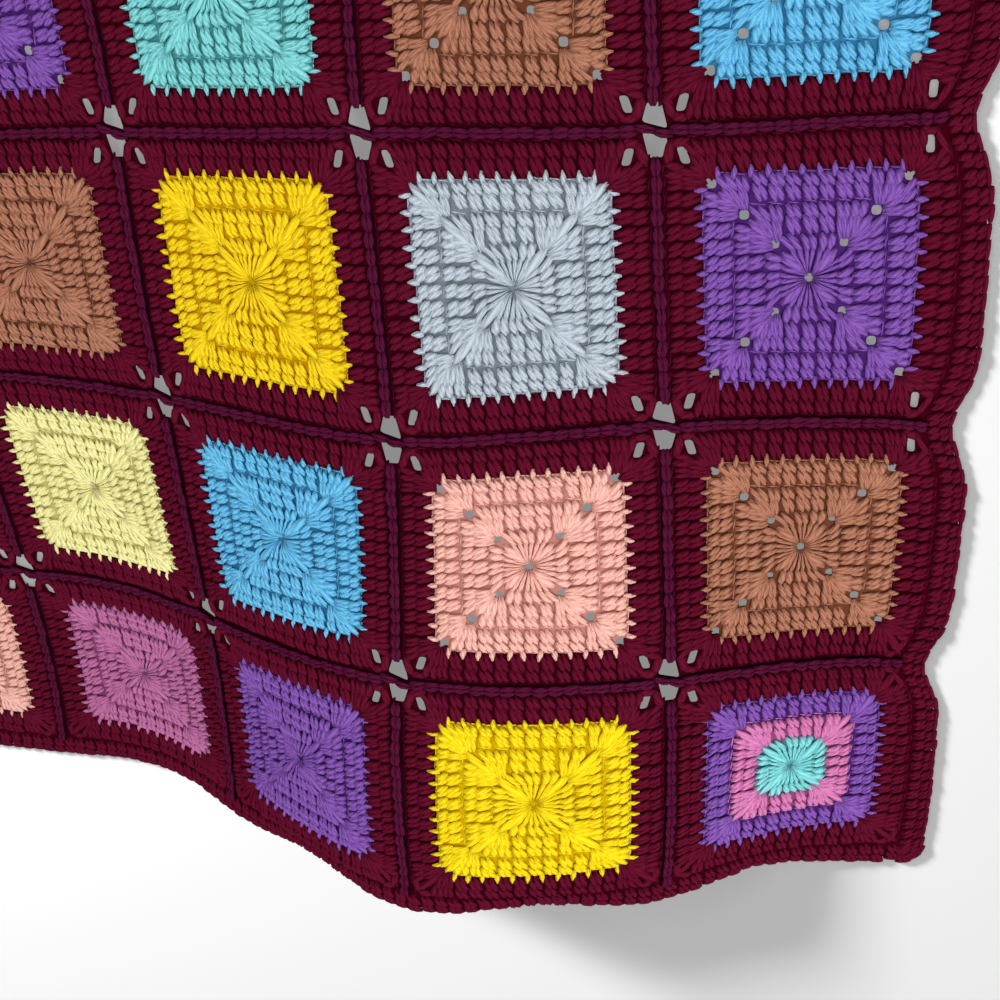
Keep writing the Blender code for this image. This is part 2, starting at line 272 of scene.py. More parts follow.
# %% Lamps and world
LAMP_AIM = (0.10, -0.10, 0.0)
LAMPS = {  # place, size in metres, watts
    "key_lamp": ((-0.40, 0.90, 1.35), 0.45, 9),
    "fill_lamp": ((0.95, -0.55, 1.25), 1.0, 17),
    "floor_lamp": ((-1.30, 1.10, 0.98), 0.40, 360),
}
WORLD_STRENGTH = 0.40
for name, (place, size, watts) in LAMPS.items():
    lamp = bpy.data.objects.new(name, bpy.data.lights.new(name, "AREA"))
    lamp.data.energy = watts
    lamp.data.size = size
    lamp.location = place
    aim = [a - b for a, b in zip(place, LAMP_AIM)]
    lamp.rotation_euler = (math.atan2(math.hypot(aim[0], aim[1]), aim[2]), 0, math.atan2(aim[0], -aim[1]))
    bpy.context.scene.collection.objects.link(lamp)
floor_only = bpy.data.collections.new("floor_only")
floor_only.objects.link(floor)
bpy.data.objects["floor_lamp"].light_linking.receiver_collection = floor_only
world = bpy.data.worlds.new("pale_room")
world.use_nodes = True
world.node_tree.nodes["Background"].inputs["Color"].default_value = (1, 1, 1, 1)
world.node_tree.nodes["Background"].inputs["Strength"].default_value = WORLD_STRENGTH
bpy.context.scene.world = world
bpy.context.scene.view_settings.view_transform = "Standard"
print("lamps:", ", ".join(LAMPS))

# %% [markdown]
# ## Yarn
# Worsted yarn is a few soft plies twisted together, so each length shows slanting ridges, raised by a bump,
# with painted shade in the grooves between them, fine fibres along it and small changes of dye. The pattern
# follows the strand, so it reads the strand's own UV map: U runs along it in millimetres and V goes once
# round it. One node group works it out, and every yarn places that group with its own colours. Yarn that lies
# in shade between the strands is darkened as painted shade, and has the group's fibres and dye alone, with
# its groove shade set to nothing.

# %% Sizes of plied yarn, and helpers that add nodes
PLIES = 3
PLY_GROOVE_SHADE = 0.5  # painted shade: how far the grooves between the plies are darkened
PLY_TWIST_MM = 5.0  # of strand for one turn
RIDGE_POWER = 0.6  # under 1, the plies are broad and the grooves between them narrow
FIBRE_SCALE = 2200
FIBRE_DETAIL = 2.0
FIBRE_CONTRAST = 1.4
FIBRE_HEIGHT = 0.5  # of a ply's
DYE_SCALE = 45
DYE_DETAIL = 1.0
DYE_CONTRAST = 0.35
LEAST_ROUGHNESS = 0.62
FIBRE_ROUGHNESS = 0.25


def add_socket(group, name, direction, kind, value=None):
    socket = group.interface.new_socket(name=name, in_out=direction, socket_type=kind)
    if value is not None:
        socket.default_value = value


def math_node(nodes, links, operation, first, second=None):
    node = nodes.new("ShaderNodeMath")
    node.operation = operation
    for index, value in enumerate((first, second)):
        if value is None:
            continue
        if isinstance(value, (int, float)):
            node.inputs[index].default_value = value
        else:
            links.new(value, node.inputs[index])
    return node.outputs[0]


def mix_colour(nodes, links, factor, first, second):
    node = nodes.new("ShaderNodeMix")
    node.data_type = "RGBA"
    links.new(factor, node.inputs[0])
    links.new(first, node.inputs[6])
    links.new(second, node.inputs[7])
    return node.outputs[2]


def noise(nodes, links, vector, scale, detail):
    node = nodes.new("ShaderNodeTexNoise")
    node.inputs["Scale"].default_value = scale
    node.inputs["Detail"].default_value = detail
    links.new(vector, node.inputs["Vector"])
    return node.outputs[0]


def about_zero(nodes, links, value, contrast):
    """A noise of 0 to 1 as a change of plus or minus half the contrast."""
    centred = math_node(nodes, links, "SUBTRACT", value, 0.5)
    return math_node(nodes, links, "MULTIPLY", centred, contrast)


print(PLIES, "plies, which turn once in", PLY_TWIST_MM, "mm of strand")


# %% The node group for plied yarn
def build_plied_yarn():
    group = bpy.data.node_groups.new("plied_yarn", "ShaderNodeTree")
    add_socket(group, "Light", "INPUT", "NodeSocketColor")
    add_socket(group, "Dark", "INPUT", "NodeSocketColor")
    add_socket(group, "Groove shade", "INPUT", "NodeSocketFloat", PLY_GROOVE_SHADE)
    add_socket(group, "Color", "OUTPUT", "NodeSocketColor")
    add_socket(group, "Roughness", "OUTPUT", "NodeSocketFloat")
    add_socket(group, "Height", "OUTPUT", "NodeSocketFloat")
    nodes, links = group.nodes, group.links
    given = nodes.new("NodeGroupInput").outputs
    coords = nodes.new("ShaderNodeTexCoord")
    uv = nodes.new("ShaderNodeSeparateXYZ")
    links.new(coords.outputs["UV"], uv.inputs[0])
    turns = math_node(nodes, links, "DIVIDE", uv.outputs[0], PLY_TWIST_MM)
    round_it = math_node(nodes, links, "MULTIPLY", uv.outputs[1], PLIES)
    phase = math_node(nodes, links, "ADD", round_it, turns)
    wave = math_node(nodes, links, "COSINE", math_node(nodes, links, "MULTIPLY", phase, 2 * math.pi))
    ply = math_node(nodes, links, "ADD", math_node(nodes, links, "MULTIPLY", wave, 0.5), 0.5)
    ridge = math_node(nodes, links, "POWER", ply, RIDGE_POWER)
    fibre = noise(nodes, links, coords.outputs["Object"], FIBRE_SCALE, FIBRE_DETAIL)
    dye = noise(nodes, links, coords.outputs["Object"], DYE_SCALE, DYE_DETAIL)
    # painted shade: the grooves between the plies are darkened towards the Dark colour
    lit = math_node(nodes, links, "MULTIPLY", ridge, given["Groove shade"])
    lit = math_node(nodes, links, "ADD", lit, math_node(nodes, links, "SUBTRACT", 1.0, given["Groove shade"]))
    lit = math_node(nodes, links, "ADD", lit, about_zero(nodes, links, fibre, FIBRE_CONTRAST))
    lit = math_node(nodes, links, "ADD", lit, about_zero(nodes, links, dye, DYE_CONTRAST))
    made = nodes.new("NodeGroupOutput").inputs
    clamp = nodes.new("ShaderNodeClamp")
    links.new(lit, clamp.inputs[0])
    links.new(mix_colour(nodes, links, clamp.outputs[0], given["Dark"], given["Light"]), made["Color"])
    rough = math_node(nodes, links, "MULTIPLY", fibre, FIBRE_ROUGHNESS)
    links.new(math_node(nodes, links, "ADD", rough, LEAST_ROUGHNESS), made["Roughness"])
    raised = math_node(nodes, links, "MULTIPLY", fibre, FIBRE_HEIGHT)
    links.new(math_node(nodes, links, "ADD", ridge, raised), made["Height"])
    return group


PLIED_YARN = build_plied_yarn()
print("node group", PLIED_YARN.name, "with", len(PLIED_YARN.nodes), "nodes")


# %% A material for each yarn
def linear(colour):
    """A colour given as on a screen, 0 to 255, as linear light."""
    return tuple(((c / 255 + 0.055) / 1.055) ** 2.4 for c in colour)


YARNS = {  # name: colour in full light, colour with painted shade between the plies
    "maroon": ((103, 21, 46), (86, 8, 32)),
    "plum": ((92, 24, 56), (62, 8, 38)),
    "gold": ((255, 226, 40), (236, 184, 4)),
    "yellow": ((255, 232, 36), (240, 200, 4)),
    "grey": ((206, 217, 227), (150, 161, 171)),
    "violet": ((146, 98, 188), (96, 50, 134)),
    "brown": ((192, 134, 108), (138, 84, 60)),
    "cream": ((254, 248, 180), (230, 224, 146)),
    "sky": ((120, 206, 246), (70, 148, 192)),
    "salmon": ((255, 202, 188), (226, 158, 146)),
    "mint": ((148, 230, 232), (88, 168, 170)),
    "mauve": ((200, 122, 172), (164, 84, 132)),
    "pink": ((226, 138, 194), (184, 100, 150)),
}
SHEEN = 0.15
SHEEN_ROUGHNESS = 0.5
BUMP_MM = 0.5
BUMP_STRENGTH = 0.8


def plied_material(name, light, dark, groove, sheen):
    """A yarn finish from its linear colours in full light and where it is darkest; groove sets how much
    painted shade darkens the grooves between the plies.
    """
    material = bpy.data.materials.new(name)
    material.use_nodes = True
    nodes, links = material.node_tree.nodes, material.node_tree.links
    shader = nodes["Principled BSDF"]
    shader.inputs["Sheen Weight"].default_value = sheen
    shader.inputs["Sheen Roughness"].default_value = SHEEN_ROUGHNESS
    shader.inputs["Sheen Tint"].default_value = (*light, 1)
    shader.inputs["Specular IOR Level"].default_value = 0
    plied = nodes.new("ShaderNodeGroup")
    plied.node_tree = PLIED_YARN
    plied.inputs["Light"].default_value = (*light, 1)
    plied.inputs["Dark"].default_value = (*dark, 1)
    plied.inputs["Groove shade"].default_value = groove
    links.new(plied.outputs["Color"], shader.inputs["Base Color"])
    links.new(plied.outputs["Roughness"], shader.inputs["Roughness"])
    bump = nodes.new("ShaderNodeBump")
    bump.inputs["Distance"].default_value = BUMP_MM / 1000
    bump.inputs["Strength"].default_value = BUMP_STRENGTH
    links.new(plied.outputs["Height"], bump.inputs["Height"])
    links.new(bump.outputs[0], shader.inputs["Normal"])
    return material


def yarn_material(yarn):
    """The finish of one yarn, which all its pieces share."""
    name = yarn + "_plied"
    if name in bpy.data.materials:
        return bpy.data.materials[name]
    light, dark = (linear(colour) for colour in YARNS[yarn])
    return plied_material(name, light, dark, PLY_GROOVE_SHADE, SHEEN)


print("yarns:", ", ".join(YARNS))

# %% The same yarns, darkened as painted shade
SHADE = 0.7  # painted shade: the share of the yarn's own brightness kept between the strands
SHADE_DEPTH = 1.1  # over 1, the painted shade is stronger in colour too
SHADE_FIBRES = 0.6  # of the shade's brightness, where its fibres are darkest


def shade_material(yarn):
    """The same yarn darkened as painted shade, for where it lies deep between the strands."""
    deep = SHADE * np.array(linear(YARNS[yarn][1])) ** SHADE_DEPTH
    return plied_material(yarn + "_in_shade", deep, SHADE_FIBRES * deep, groove=0, sheen=0)


print("shade keeps", SHADE, "of a yarn's brightness")

# %% [markdown]
# ## A length of yarn
# Each visible bit of a stitch is a short strand, fattest in its middle and tucked down at both ends. A
# ring of a few points, extruded from place to place along the strand, makes the tube, and a face closes
# each end. The strands of one stitch make a small template, which is kept as arrays.


# %% Strands from extruded rings
def ring_points(centre, direction, radius, sides):
    """Points of a ring round a place, square to a direction, starting on the side away from the cloth."""
    direction = direction / np.linalg.norm(direction)
    up = np.array([0.0, 0.0, 1.0]) - direction[2] * direction
    up /= np.linalg.norm(up)
    side = np.cross(direction, up)
    turn = 2 * math.pi * np.arange(sides) / sides
    return centre + radius * (np.cos(turn)[:, None] * up + np.sin(turn)[:, None] * side)


def strand(bm, uv_layer, path, radii, sides):
    """Adds a closed tube along a path to a bmesh, with U in millimetres along it and V round it."""
    path = np.array(path, float)
    steps = np.gradient(path, axis=0)
    first = bmesh.ops.create_circle(bm, segments=sides, radius=1)["verts"]
    rings = [first]
    edges = list(dict.fromkeys(e for v in first for e in v.link_edges))
    for _ in path[1:]:
        grown = bmesh.ops.extrude_edge_only(bm, edges=edges)["geom"]
        verts = [g for g in grown if isinstance(g, bmesh.types.BMVert)]
        edges = [g for g in grown if isinstance(g, bmesh.types.BMEdge) and all(v in verts for v in g.verts)]
        before = {v: i for i, v in enumerate(rings[-1])}
        ordered = [None] * sides
        for v in verts:
            old = next(e.other_vert(v) for e in v.link_edges if e.other_vert(v) in before)
            ordered[before[old]] = v
        rings.append(ordered)
    where = {}
    length = 0
    for k, ring in enumerate(rings):
        length += np.linalg.norm(path[k] - path[k - 1]) if k else 0
        for i, (v, point) in enumerate(zip(ring, ring_points(path[k], steps[k], radii[k], sides))):
            v.co = point
            where[v] = (length, i / sides)
    caps = [bm.faces.new(rings[0]), bm.faces.new(rings[-1])]
    tube = list(dict.fromkeys(f for ring in rings for v in ring for f in v.link_faces))
    for face in tube:
        places = [where[loop.vert] for loop in face.loops]
        wraps = face not in caps and max(p[1] for p in places) - min(p[1] for p in places) > 0.5
        for loop, (u, v) in zip(face.loops, places):
            loop[uv_layer].uv = (u, v + 1 if wraps and v < 0.5 else v)
    bmesh.ops.recalc_face_normals(bm, faces=tube)


print("a ring starts at its top:", ring_points(np.zeros(3), np.array([0.0, 1.0, 0.0]), 1, 4)[0].round(3))


# %% Templates, kept as arrays
def order_faces(bm):
    """Sorts the faces of a bmesh by their points, so that every run gives the same mesh."""
    bm.verts.index_update()
    for index, face in enumerate(sorted(bm.faces, key=lambda f: [v.index for v in f.verts])):
        face.index = index
    bm.faces.sort()


def template(strands):
    """The arrays of one repeated shape: its points, its faces as runs of loops, and its UV."""
    bm = bmesh.new()
    uv_layer = bm.loops.layers.uv.new("yarn")
    for path, radii, sides in strands:
        strand(bm, uv_layer, path, radii, sides)
    order_faces(bm)
    loops = [(loop.vert.index, *loop[uv_layer].uv) for face in bm.faces for loop in face.loops]
    made = {
        "points": np.array([v.co[:] for v in bm.verts]),
        "corners": np.array([entry[0] for entry in loops]),
        "uv": np.array([entry[1:] for entry in loops]),
        "sizes": np.array([len(face.verts) for face in bm.faces]),
        "triangles": sum(len(face.verts) - 2 for face in bm.faces),
    }
    bm.free()
    return made


plain_tube = ([(0, 0, 0), (0, 1, 0), (0, 2, 0)], [1, 1, 1], 4)
print("a tube of 3 rings has", template([plain_tube])["triangles"], "triangles")

# %% [markdown]
# ## The shapes that repeat
# A treble shows as two pairs of slanting strands, one above the other, over a post that fills the gaps
# between them. The loop across its top lies low, in the groove before the next round. At the rim no round
# follows, so there the loop shows whole. Stitches that fan out at a corner stand straighter, and those of
# the first round meet in a ring, so each is drawn out into two rays. A link is two strands side by side,
# bowed apart. A spike is the tip of a stitch that reaches into the next round. All of these repeat
# hundreds of times, so a strand has few sides and few rings.

# %% A strand's outline
STITCH_HEIGHT = 14.5
LINK_LENGTH = 7.0
SPIKE_LENGTH = 3.5
EVEN = (0.0, 0.22, 0.5, 0.78, 1.0)
FEW = (0.0, 0.3, 0.7, 1.0)


def lozenge(start, end, low, high, thick, thin=0.7, sides=4, bow=0.0, steps=FEW):
    """A strand that rises from low to high between its ends and swells to its full thickness."""
    start, end = np.array(start, float), np.array(end, float)
    across = np.array([-(end - start)[1], (end - start)[0]]) / np.linalg.norm(end - start)
    path, radii = [], []
    for t in steps:
        swell = math.sin(math.pi * t)
        place = start + (end - start) * t + across * bow * swell
        path.append((*place, low + (high - low) * swell))
        radii.append(thick * (thin + (1 - thin) * swell))
    return path, radii, sides


print("a strand has", len(FEW), "or", len(EVEN), "rings")

# %% Templates, in millimetres: across the stitch, out from the centre, and above the underside
POST = ([(0.3, 12.6, 1.1), (0.0, 6.5, 1.3), (0.0, 0.4, 1.1)], [2.4, 2.8, 2.4], 3)
LOW_LOOP = lozenge((-3.4, 14.7), (3.0, 13.8), 1.2, 1.5, 0.9, sides=3)
LOWER_PAIR = (
    lozenge((-2.8, 8.6), (0.0, 0.7), 1.8, 3.3, 1.75),
    lozenge((0.0, 8.8), (2.8, 1.1), 1.8, 3.3, 1.75),
)
TREBLE = template([
    LOW_LOOP,
    lozenge((-2.8, 13.6), (0.2, 7.4), 1.9, 3.5, 1.70),
    lozenge((0.0, 13.4), (2.9, 7.8), 1.9, 3.5, 1.70),
    *LOWER_PAIR,
    POST,
])
RIM = template([
    lozenge((-3.9, 14.5), (3.7, 13.7), 1.8, 2.7, 1.5, thin=0.75),
    lozenge((-2.8, 13.4), (0.2, 7.4), 1.9, 3.4, 1.70),
    lozenge((0.0, 13.2), (2.9, 7.8), 1.9, 3.4, 1.70),
    *LOWER_PAIR,
    POST,
])
FAN = template([
    LOW_LOOP,
    lozenge((-2.5, 13.6), (-0.5, 7.6), 1.9, 3.4, 1.65),
    lozenge((0.6, 13.4), (2.4, 7.8), 1.9, 3.4, 1.65),
    lozenge((-2.0, 9.2), (-0.9, 0.2), 1.8, 3.3, 1.65),
    lozenge((0.9, 9.4), (1.7, 0.4), 1.8, 3.3, 1.65),
    POST,
])
RAY = template([
    lozenge((-2.9, 15.0), (-0.6, 8.6), 1.8, 3.4, 1.65),
    lozenge((0.2, 14.8), (2.5, 8.8), 1.8, 3.4, 1.65),
    lozenge((-1.7, 10.2), (-1.4, 0.0), 1.6, 3.2, 1.6, thin=0.75),
    lozenge((1.8, 10.4), (1.6, 0.0), 1.6, 3.1, 1.6, thin=0.75),
])
LINK = template([
    lozenge((-0.5, -0.8), (-0.7, 7.2), 2.6, 4.2, 1.35, thin=0.55, sides=5, bow=0.7, steps=EVEN),
    lozenge((0.5, -0.8), (0.7, 7.2), 2.6, 4.2, 1.35, thin=0.55, sides=5, bow=-0.7, steps=EVEN),
])
CORNER_LINK = template([lozenge((0.0, -0.9), (0.0, 7.6), 1.7, 3.0, 1.6, thin=0.55, sides=5)])
SPIKE = template([([(0.0, -1.6, 2.2), (0.1, 1.0, 3.3), (0.0, 3.5, 3.2)], [1.35, 1.3, 0.5], 4)])
for name, shape in (("treble", TREBLE), ("rim", RIM), ("fan", FAN), ("ray", RAY), ("link", LINK),
                    ("corner link", CORNER_LINK), ("spike", SPIKE)):
    print(name, len(shape["points"]), "points,", shape["triangles"], "triangles")

# %% [markdown]
# ## Setting a template in many places
# Every stitch of one kind has the same shape, so its template is copied to all its places at once, as
# arrays: a foot and a tip in flat metres, and how wide it is at each. Hands never pull two stitches quite
# alike, so each copy is also moved, widened and raised a little, by seeded amounts.

# %% Runs of stitches
RNG = np.random.default_rng(5)
STRAY = 0.00025  # metres that a foot or a tip is off its place
UNEVEN = 0.06  # of a stitch's width and height


def run_of(shape, length, feet, tips, aside, wide, yarn, lift=0.0):
    """One template from each foot to each tip. aside points across it, and wide is its scale at both ends."""
    count = len(feet)
    feet = feet + RNG.normal(0, STRAY, (count, 2))
    tips = tips + RNG.normal(0, STRAY, (count, 2))
    wide = np.broadcast_to(wide, (count, 2)) * RNG.normal(1, UNEVEN, (count, 1))
    rise = RNG.normal(1, UNEVEN, (count, 1))
    across, along, height = shape["points"].T
    part_way = (along / length)[None, :]
    middle = feet[:, None] + (tips - feet)[:, None] * part_way[..., None]
    scale = wide[:, :1] + (wide[:, 1:] - wide[:, :1]) * part_way
    flat = middle + np.asarray(aside)[:, None] * (across * scale / 1000)[..., None]
    heights = (height * rise + lift) / 1000
    return shape, np.concatenate([flat, heights[..., None]], axis=-1).reshape(-1, 3), yarn


print("a foot or a tip strays by about", 1000 * STRAY, "mm")

# %% From runs to a piece
STITCHED = []


def mesh_of(name, points, corners, sizes, uv, paints, yarns):
    """A new object from joined arrays: faces as runs of loops, their UV, and the yarn of each."""
    mesh = bpy.data.meshes.new(name)
    mesh.vertices.add(len(points))
    mesh.vertices.foreach_set("co", points.astype(np.float32).ravel())
    mesh.loops.add(len(corners))
    mesh.loops.foreach_set("vertex_index", corners.astype(np.int32))
    mesh.polygons.add(len(sizes))
    mesh.polygons.foreach_set("loop_start", np.concatenate([[0], np.cumsum(sizes)[:-1]]).astype(np.int32))
    mesh.polygons.foreach_set("material_index", paints.astype(np.int32))
    mesh.polygons.foreach_set("use_smooth", np.ones(len(sizes), bool))
    mesh.uv_layers.new(name="yarn").data.foreach_set("uv", uv.astype(np.float32).ravel())
    mesh.update(calc_edges=True)
    mesh.validate()
    for yarn in yarns:
        mesh.materials.append(yarn_material(yarn))
    piece = bpy.data.objects.new(name, mesh)
    bpy.context.scene.collection.objects.link(piece)
    return piece


def knit_up(name, runs, node):
    """Joins runs of stitches into one piece on the cloth, in place of a node of the frame."""
    yarns = list(dict.fromkeys(run[2] for run in runs))
    points, corners, sizes, uv, paints = [], [], [], [], []
    start = 0
    for shape, flat, yarn in runs:
        count = len(flat) // len(shape["points"])
        starts = start + len(shape["points"]) * np.arange(count)
        corners.append((shape["corners"][None] + starts[:, None]).ravel())
        sizes.append(np.tile(shape["sizes"], count))
        shift = np.stack([RNG.uniform(0, PLY_TWIST_MM, count), np.zeros(count)], axis=-1)
        uv.append((shape["uv"][None] + shift[:, None]).reshape(-1, 2))
        paints.append(np.full(count * len(shape["sizes"]), yarns.index(yarn)))
        points.append(flat)
        start += len(flat)
    parts = [np.concatenate(part) for part in (points, corners, sizes, uv, paints)]
    piece = mesh_of(name, on_cloth(parts[0]), *parts[1:], yarns)
    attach(piece, "root")
    if node:
        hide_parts(node)
    STITCHED.append(piece)


print("stitched pieces so far:", len(STITCHED))

# %% [markdown]
# ## The squares
# A granny square grows from a ring in its middle: 3 treble stitches a side, and 2 more at each end of a
# side in every round after that. So the sides hold 3, 7, 11 and 15. Stitches in the middle of a side
# stand on the ones before, and the last 2 at each end fan out of the corner space. A thicker strand runs
# along the diagonal between two fans, and in the border round two links close the space beyond it.

# %% Where the stitches of a round stand
ROUND_EDGES = (0.0022, 0.0184, 0.0327, 0.0457, 0.0622)
BORDER_ROUND = 3
COLOUR_HALF = ROUND_EDGES[BORDER_ROUND]
TOP_SPACING = 0.0071
TREBLE_WIDTHS = (0.92, 1.0)  # at the foot and at the tip, as a share of the template's
FIRST_SPACING = 0.0092
RING_WIDTHS = ((0.22, 1.35), (0.22, 1.2), (0.22, 1.35))
RING_DRAW_IN = 0.13
RING_END_DRAW_IN = 0.0005
FAN_FEET = ((-0.0050, -0.0026), (-0.0024, -0.0022))  # of the 2 stitches in a corner space: along, out
FAN_WIDTHS = ((0.6, 1.0), (0.8, 1.35))
FAN_SPREAD = (0, 0.0012, 0.0012, 0.0004)  # of the outermost tips, in each round


def round_places(number):
    """Feet and tips of one side of a round, as (along, out), and their widths at both ends."""
    inner, outer = ROUND_EDGES[number], ROUND_EDGES[number + 1]
    count = 3 + 2 * len(FAN_FEET) * number
    spacing = TOP_SPACING if number else FIRST_SPACING
    tips = spacing * (np.arange(count) - (count - 1) / 2)
    tips[[0, -1]] += FAN_SPREAD[number] * np.array([-1, 1])
    feet, out = tips.copy(), np.full(count, inner)
    wide = np.tile(TREBLE_WIDTHS, (count, 1))
    if number == 0:
        feet = tips * RING_DRAW_IN
        out = out - RING_END_DRAW_IN * np.abs(np.sign(tips))
        wide = np.array(RING_WIDTHS)
    else:
        for index, (along, up) in enumerate(FAN_FEET):
            feet[1 - index] = -(inner + along)
            feet[index - 2] = inner + along
            out[[1 - index, index - 2]] = inner + up
            wide[[1 - index, index - 2]] = FAN_WIDTHS[index]
    return np.stack([feet, out], axis=-1), np.stack([tips, np.full(count, outer)], axis=-1), wide


for number in range(BORDER_ROUND + 1):
    print("round", number + 1, "has", len(round_places(number)[0]), "stitches a side")

# %% One side of a round
SIDES_OUT = [np.array(d, float) for d in ((0, 1), (1, 0), (0, -1), (-1, 0))]


def aside_of(out):
    return np.array([out[1], -out[0]])


def turned(places, out):
    """Places given as (along, out) on a side that faces out."""
    return places[:, :1] * aside_of(out) + places[:, 1:] * out


def side_runs(centre, number, out, yarn):
    """The stitches that fan out of the corner spaces or the ring, and those between them."""
    feet, tips, wide = round_places(number)
    feet, tips = (centre + turned(places, out) for places in (feet, tips))
    fanned = np.ones(len(feet), bool)
    if number:
        fanned[len(FAN_FEET):-len(FAN_FEET)] = False
    runs = []
    for shape, use in ((FAN if number else RAY, fanned), (TREBLE, ~fanned)):
        asides = np.tile(aside_of(out), (sum(use), 1))
        runs.append(run_of(shape, STITCH_HEIGHT, feet[use], tips[use], asides, wide[use], yarn))
    return runs


print("a square has", len(SIDES_OUT), "sides")

# %% One corner of a round
SPINE_STARTS = (0.0010, -0.0008, -0.0008, -0.0008)  # of the strand along the diagonal, in each round
OPEN_CORNER = 0.0078  # how far short of the round's own corner that strand stops
CLOSED_CORNER = 0.0025
BORDER_CORNER = 0.0125
CORNER_WIDTHS = (1.5, 1.5)
SPACE_MIDDLE = 0.0540
BORDER_CHAIN = ((0.0515, 0.0604), (0.0576, 0.0597), (0.0603, 0.0510))
CLOSED_UP_TO = 1.5 * PITCH


def is_closed(corner):
    """Whether the edging closes the corner space there: along the hem, and low on the right side."""
    return corner[1] < PITCH / 2 or (corner[0] > SIDE - PITCH / 2 and corner[1] < CLOSED_UP_TO)


def corner_runs(centre, number, out, is_open, yarn):
    """The strand along one diagonal, after the links that close the space if it's the border's."""
    corner = out + aside_of(out)
    short = OPEN_CORNER if is_open else CLOSED_CORNER
    runs = []
    if number == BORDER_ROUND:
        ends = centre + np.array(BORDER_CHAIN) * corner
        steps = ends[1:] - ends[:-1]
        sideways = np.stack([steps[:, 1], -steps[:, 0]], axis=-1)
        sideways /= np.linalg.norm(sideways, axis=1, keepdims=True)
        runs.append(run_of(CORNER_LINK, LINK_LENGTH, ends[:-1], ends[1:], sideways, CORNER_WIDTHS, yarn))
        short = CLOSED_CORNER if is_closed(centre + SPACE_MIDDLE * corner) else BORDER_CORNER
    reach = (ROUND_EDGES[number] + SPINE_STARTS[number], ROUND_EDGES[number + 1] - short)
    spine = centre + np.array(reach)[:, None] * corner
    sideways = aside_of(corner)[None] / math.sqrt(2)
    runs.append(run_of(CORNER_LINK, LINK_LENGTH, spine[:1], spine[1:], sideways, CORNER_WIDTHS, yarn))
    return runs


print("a border corner is closed by", len(BORDER_CHAIN) - 1, "links")

# %% One square
SPIKES = 12  # a side


def square_runs(centre, yarns, is_open):
    """The coloured rounds with their spikes, and the border round."""
    rounds, border = [], []
    for number, yarn in enumerate((*yarns, "maroon")):
        goes_in = border if number == BORDER_ROUND else rounds
        for out in SIDES_OUT:
            goes_in += side_runs(centre, number, out, yarn)
            goes_in += corner_runs(centre, number, out, is_open, yarn)
    between = TOP_SPACING * (np.arange(SPIKES) - (SPIKES - 1) / 2)
    for out in SIDES_OUT:
        feet = centre + turned(np.stack([between, np.full(SPIKES, COLOUR_HALF)], axis=-1), out)
        tips = feet + out * SPIKE_LENGTH / 1000
        asides = np.tile(aside_of(out), (SPIKES, 1))
        rounds.append(run_of(SPIKE, SPIKE_LENGTH, feet, tips, asides, (1, 1), yarns[-1]))
    return rounds, border


print("spikes on a square:", SPIKES * len(SIDES_OUT))

# %% Every square, in its own colours
LAYOUT = (  # as it lies, from the far row to the hem
    ("gold", "sky", "salmon", "cream", "mauve"),
    ("grey", "violet", "mint", "brown", "sky"),
    ("mint", "brown", "gold", "grey", "violet"),
    ("yellow", "cream", "sky", "salmon", "brown"),
    ("salmon", "mauve", "violet", "yellow", "violet"),
)
OPEN_SQUARES = ((3, 1), (3, 3), (3, 4), (2, 4), (1, 3), (1, 4))  # row, column; looser than the rest
THREE_COLOUR_SQUARE = (0, 4)
THREE_COLOURS = ("mint", "pink", "violet")
for row in range(SQUARES):
    for column in range(SQUARES):
        yarn = LAYOUT[SQUARES - 1 - row][column]
        yarns = THREE_COLOURS if (row, column) == THREE_COLOUR_SQUARE else (yarn,) * 3
        middle = PITCH * np.array([column + 0.5, row + 0.5])
        rounds, border = square_runs(middle, yarns, (row, column) in OPEN_SQUARES)
        place = f"row{row + 1}_col{column + 1}"
        knit_up("rounds_" + place, rounds, "square_" + place)
        knit_up("border_" + place, border, None)
print(len(STITCHED), "pieces of stitches on", SQUARES**2, "squares")

# %% [markdown]
# ## The seams
# The squares are joined from the front with a row of plum chain over their edges, which stands proud of
# the cloth. The long seams run from edge to edge, and cross each open junction as a bare, slanting cord.
# The short ones stop either side of it, so every crossing keeps two holes.

# %% A chain of links
LINK_PITCH = 0.0070
CHAIN_LIFT = 0.5  # millimetres
SEAM_INSET = 0.001  # from the squares' outline
JUNCTION_GAP = 0.0115
CORD_HALF = 0.0075
CORD_SLANT = 0.0022
CORD_WIDTHS = (0.75, 0.75)


def chain(start, end, wide=(1, 1)):
    """Links from start to end, in flat metres."""
    start, end = np.array(start, float), np.array(end, float)
    reach = np.linalg.norm(end - start)
    count = max(1, round(reach / LINK_PITCH))
    along = (end - start) / reach
    feet = start + along * (reach / count * np.arange(count))[:, None]
    tips = feet + along * reach / count
    asides = np.tile(aside_of(along), (count, 1))
    return run_of(LINK, LINK_LENGTH, feet, tips, asides, wide, "plum", lift=CHAIN_LIFT)


def beside_square(k, gap):
    """Where a seam starts and ends beside square k: a gap short of a junction, or just inside the outline."""
    return (PITCH * k + (gap if k else SEAM_INSET),
            PITCH * (k + 1) - (gap if k < SQUARES - 1 else SEAM_INSET))


print("a short seam runs from and to", beside_square(1, JUNCTION_GAP))

